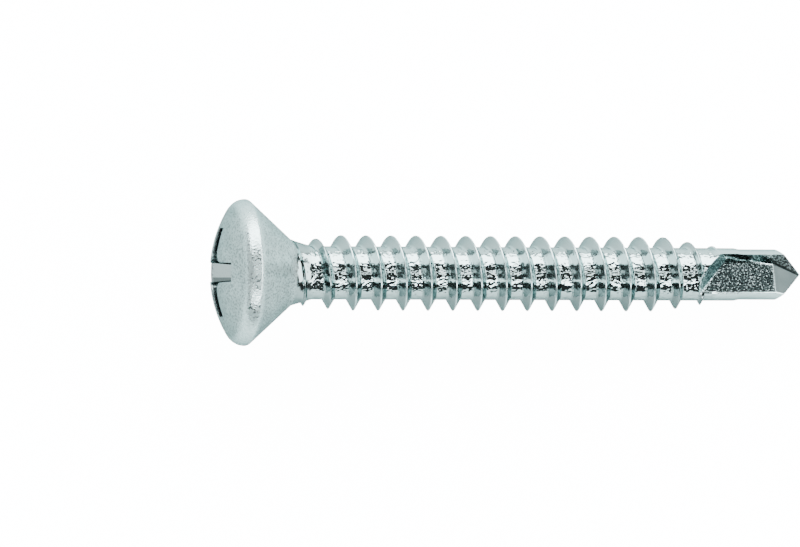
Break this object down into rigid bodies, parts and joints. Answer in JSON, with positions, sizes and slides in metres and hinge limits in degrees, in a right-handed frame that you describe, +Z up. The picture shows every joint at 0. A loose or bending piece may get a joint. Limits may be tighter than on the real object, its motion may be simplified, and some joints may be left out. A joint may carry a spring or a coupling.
{
  "type": "self drilling screw",
  "caption": "Raised countersunk head self drilling screw with a cross recess, a coarse right-hand thread and a fluted drill point, in bright zinc-plated steel.",
  "frame": {"origin": "on the surface that the screw lies on, below the centre of its box", "axes": "+X towards the drill point, level; the screw's own axis lies in the XZ plane and falls towards the point; +Z up"},
  "size_m": [0.0332, 0.008, 0.008],
  "materials": {
    "zinc_plated_steel": "bright zinc plating, satin on the head and rougher in the flutes"
  },
  "bodies": {
    "root": {"drilling_screw": "zinc_plated_steel"}
  },
  "joints": []
}
